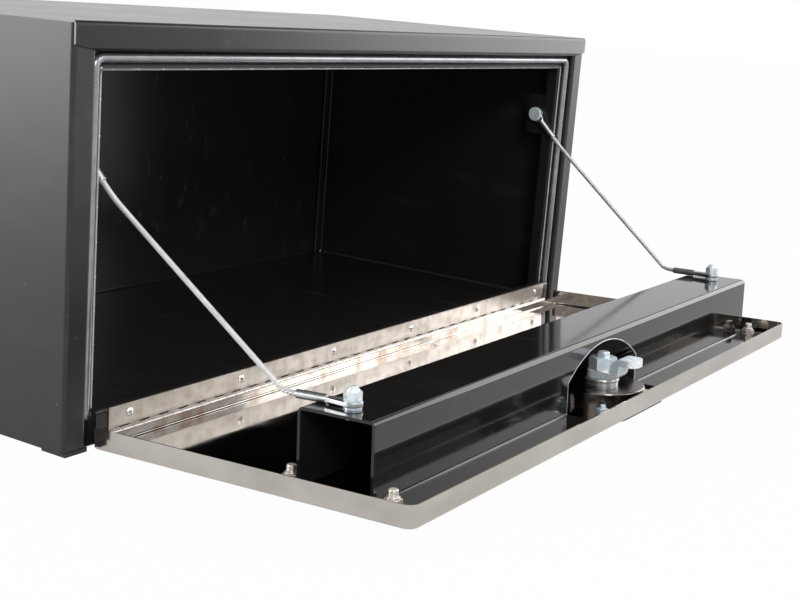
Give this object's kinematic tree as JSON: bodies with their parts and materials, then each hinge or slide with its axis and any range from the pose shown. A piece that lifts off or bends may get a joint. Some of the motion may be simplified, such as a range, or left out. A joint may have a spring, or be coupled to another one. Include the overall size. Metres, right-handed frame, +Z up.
{
  "type": "underbody truck tool box",
  "caption": "Black underbody truck tool box with a stainless drop-down door on a piano hinge, door cables, a bulb seal and a T-handle cam latch.",
  "frame": {"origin": "centre of the open box's footprint, on the ground", "axes": "+X along the long front, to the right of a viewer facing the door; +Y from the door to the back; +Z up"},
  "size_m": [0.9144, 0.7314, 0.3596],
  "materials": {
    "black_coat": "glossy",
    "channel_coat": "glossy",
    "bracket_coat": "satin",
    "pad_rubber": "matte",
    "seal_rubber": "satin",
    "gasket_rubber": "matte",
    "hinge_steel": "satin",
    "rivet_steel": "satin",
    "mirror_steel": "polished",
    "dish_steel": "polished",
    "latch_zinc": "satin",
    "cam_zinc": "satin",
    "handle_chrome": "polished",
    "pin_steel": "satin",
    "key_brass": "satin",
    "zinc": "satin",
    "cable_wire": "satin",
    "sleeve_metal": "satin"
  },
  "bodies": {
    "box": {"floor_and_back": "black_coat", "side_panel_left": "black_coat", "side_panel_right": "black_coat", "top_hood": "black_coat", "foot_pads": "pad_rubber", "door_seal": "seal_rubber", "hinge_body_leaf": "hinge_steel", "hinge_pin": "hinge_steel", "hinge_rivets": "rivet_steel", "cable_bracket_left": "bracket_coat", "cable_bracket_right": "bracket_coat", "anchor_bolts": "zinc", "anchor_nuts": "zinc", "anchor_spacers": "zinc", "upper_eye_left": "sleeve_metal", "upper_eye_right": "sleeve_metal", "cable_left": "cable_wire", "cable_right": "cable_wire"},
    "door": {"door_pan": "mirror_steel", "hinge_door_leaf": "hinge_steel", "lock_channel": "channel_coat", "channel_studs": "zinc", "channel_nuts": "zinc", "lower_bolts": "zinc", "lower_washers": "zinc", "lower_lock_nuts": "zinc", "lower_eye_left": "sleeve_metal", "lower_eye_right": "sleeve_metal", "latch_dish": "dish_steel", "latch_gasket": "gasket_rubber", "dish_studs": "zinc", "dish_nuts": "zinc", "latch_housing": "latch_zinc", "housing_collar": "latch_zinc"},
    "latch": {"latch_shaft": "latch_zinc", "latch_cam": "cam_zinc", "cam_nut": "zinc"},
    "handle": {"t_handle": "handle_chrome", "handle_pin": "pin_steel"},
    "key": {"key_plug": "key_brass"}
  },
  "joints": [
    {"name": "door_hinge", "type": "hinge", "parent": "box", "child": "door", "pos_m": [0, -0.04434, 0.012], "axis": [-1, 0, 0], "range_deg": [0, 87], "deforming": ["door_seal", "cable_left", "cable_right"]},
    {"name": "latch_turn", "type": "hinge", "parent": "door", "child": "latch", "pos_m": [0, -0.31597, 0.02624], "axis": [0, 0.0523, 0.9986], "range_deg": [0, 90]},
    {"name": "handle_fold", "type": "hinge", "parent": "latch", "child": "handle", "pos_m": [0, -0.31597, 0.02624], "axis": [-1, 0, 0], "range_deg": [0, 90]},
    {"name": "key_turn", "type": "hinge", "parent": "handle", "child": "key", "pos_m": [0, -0.30049, 0.02542], "axis": [0, 0.0523, 0.9986], "range_deg": [0, 90]}
  ]
}
